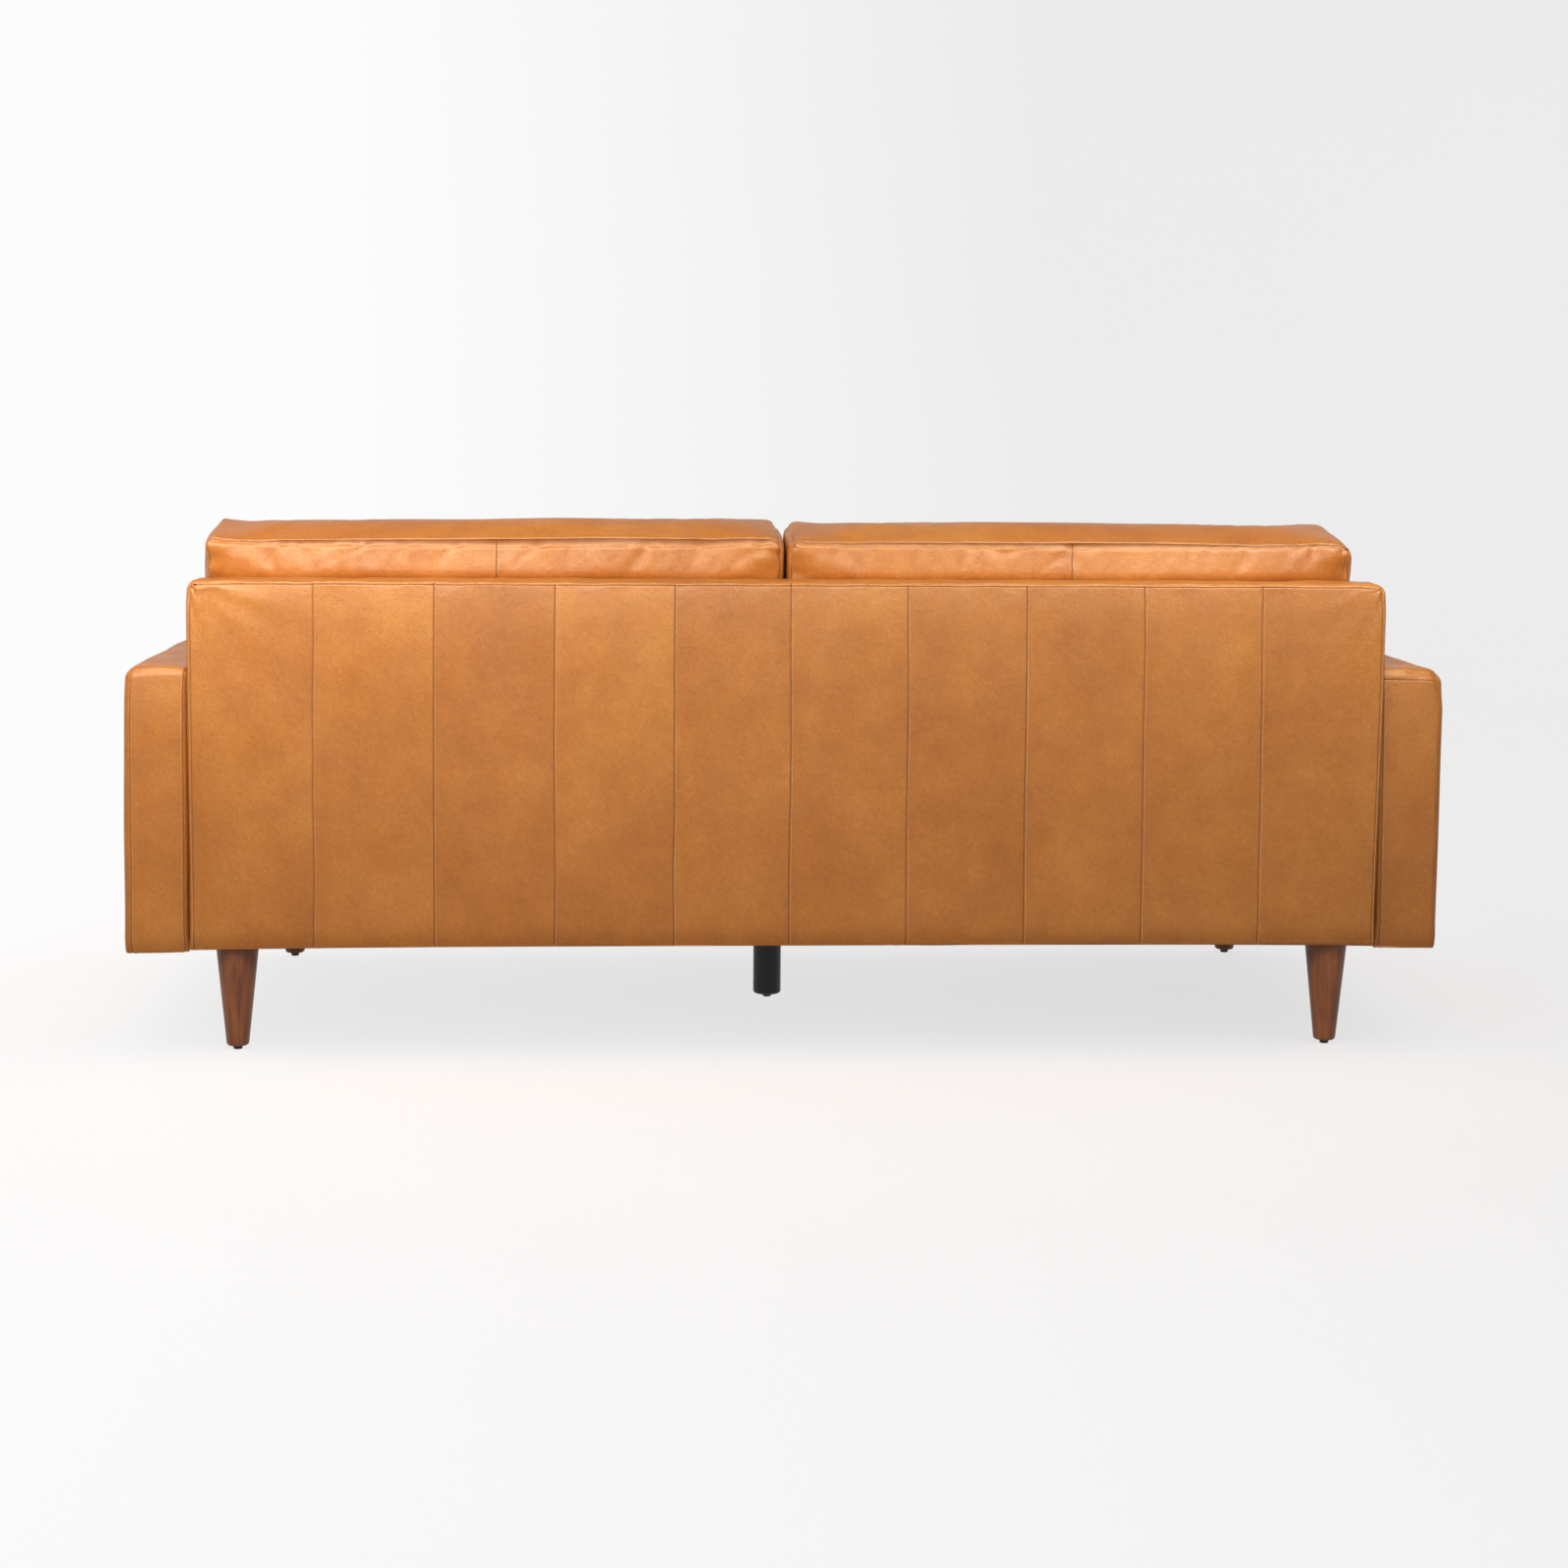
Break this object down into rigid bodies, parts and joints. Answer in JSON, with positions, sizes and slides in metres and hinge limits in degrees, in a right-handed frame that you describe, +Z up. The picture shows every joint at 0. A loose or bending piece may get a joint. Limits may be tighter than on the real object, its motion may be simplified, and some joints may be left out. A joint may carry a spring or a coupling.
{
  "type": "sofa",
  "caption": "Leather sofa with loose seat and back cushions, slim track arms, a channelled outside back and tapered wooden legs.",
  "frame": {"origin": "on the floor, under the middle of the sofa's overall width and depth", "axes": "+X to the sitter's left along the sofa, +Y towards the back, +Z up; the seat faces -Y"},
  "size_m": [2.185, 0.915, 0.87],
  "materials": {
    "leather": "satin",
    "walnut": "satin",
    "dark_wood": "satin",
    "hardwood": "matte",
    "foam": "matte",
    "deck_cloth": "matte",
    "dust_cloth": "matte",
    "glide_nylon": "satin",
    "steel": "satin",
    "zip_tape": "matte",
    "zip_metal": "satin"
  },
  "bodies": {
    "frame": {"front_left_leg": "walnut", "front_left_glide": "glide_nylon", "front_left_hanger_bolt": "steel", "front_left_block": "hardwood", "front_right_leg": "walnut", "front_right_glide": "glide_nylon", "front_right_hanger_bolt": "steel", "front_right_block": "hardwood", "rear_left_leg": "walnut", "rear_left_glide": "glide_nylon", "rear_left_hanger_bolt": "steel", "rear_left_block": "hardwood", "rear_right_leg": "walnut", "rear_right_glide": "glide_nylon", "rear_right_hanger_bolt": "steel", "rear_right_block": "hardwood", "middle_support_leg": "dark_wood", "middle_support_glide": "glide_nylon", "middle_support_hanger_bolt": "steel", "front_rail": "hardwood", "rear_rail": "hardwood", "left_side_rail": "hardwood", "right_side_rail": "hardwood", "middle_rail": "hardwood", "left_seat_spring_1": "steel", "left_seat_spring_2": "steel", "left_seat_spring_3": "steel", "left_arm_cover": "leather", "left_arm_frame": "hardwood", "left_back_post": "hardwood", "right_seat_spring_1": "steel", "right_seat_spring_2": "steel", "right_seat_spring_3": "steel", "right_arm_cover": "leather", "right_arm_frame": "hardwood", "right_back_post": "hardwood", "middle_back_post": "hardwood", "back_top_rail": "hardwood", "back_cover": "leather", "front_spring_strip": "steel", "rear_spring_strip": "steel", "seat_deck": "deck_cloth", "front_border": "leather", "dust_cover": "dust_cloth"},
    "left_seat_cushion": {"left_seat_cushion_cover": "leather", "left_seat_cushion_core": "foam", "left_seat_cushion_zip": "zip_tape"},
    "left_seat_cushion_zip_pull": {"left_seat_cushion_zip_pull": "zip_metal"},
    "left_back_cushion": {"left_back_cushion_cover": "leather", "left_back_cushion_core": "foam", "left_back_cushion_zip": "zip_tape"},
    "left_back_cushion_zip_pull": {"left_back_cushion_zip_pull": "zip_metal"},
    "right_seat_cushion": {"right_seat_cushion_cover": "leather", "right_seat_cushion_core": "foam", "right_seat_cushion_zip": "zip_tape"},
    "right_seat_cushion_zip_pull": {"right_seat_cushion_zip_pull": "zip_metal"},
    "right_back_cushion": {"right_back_cushion_cover": "leather", "right_back_cushion_core": "foam", "right_back_cushion_zip": "zip_tape"},
    "right_back_cushion_zip_pull": {"right_back_cushion_zip_pull": "zip_metal"}
  },
  "joints": [
    {"name": "left_seat_cushion_slide", "type": "slide", "parent": "frame", "child": "left_seat_cushion", "axis": [0, -1, 0], "range_m": [0, 0.35]},
    {"name": "left_back_cushion_lift", "type": "slide", "parent": "frame", "child": "left_back_cushion", "axis": [0, 0.1736, 0.9848], "range_m": [0, 0.35]},
    {"name": "left_seat_cushion_zip_slide", "type": "slide", "parent": "left_seat_cushion", "child": "left_seat_cushion_zip_pull", "axis": [-1, 0, 0], "range_m": [0, 0.842]},
    {"name": "left_back_cushion_zip_slide", "type": "slide", "parent": "left_back_cushion", "child": "left_back_cushion_zip_pull", "axis": [-1, 0, 0], "range_m": [0, 0.842]},
    {"name": "right_seat_cushion_slide", "type": "slide", "parent": "frame", "child": "right_seat_cushion", "axis": [0, -1, 0], "range_m": [0, 0.35]},
    {"name": "right_back_cushion_lift", "type": "slide", "parent": "frame", "child": "right_back_cushion", "axis": [0, 0.1736, 0.9848], "range_m": [0, 0.35]},
    {"name": "right_seat_cushion_zip_slide", "type": "slide", "parent": "right_seat_cushion", "child": "right_seat_cushion_zip_pull", "axis": [1, 0, 0], "range_m": [0, 0.842]},
    {"name": "right_back_cushion_zip_slide", "type": "slide", "parent": "right_back_cushion", "child": "right_back_cushion_zip_pull", "axis": [1, 0, 0], "range_m": [0, 0.842]}
  ]
}
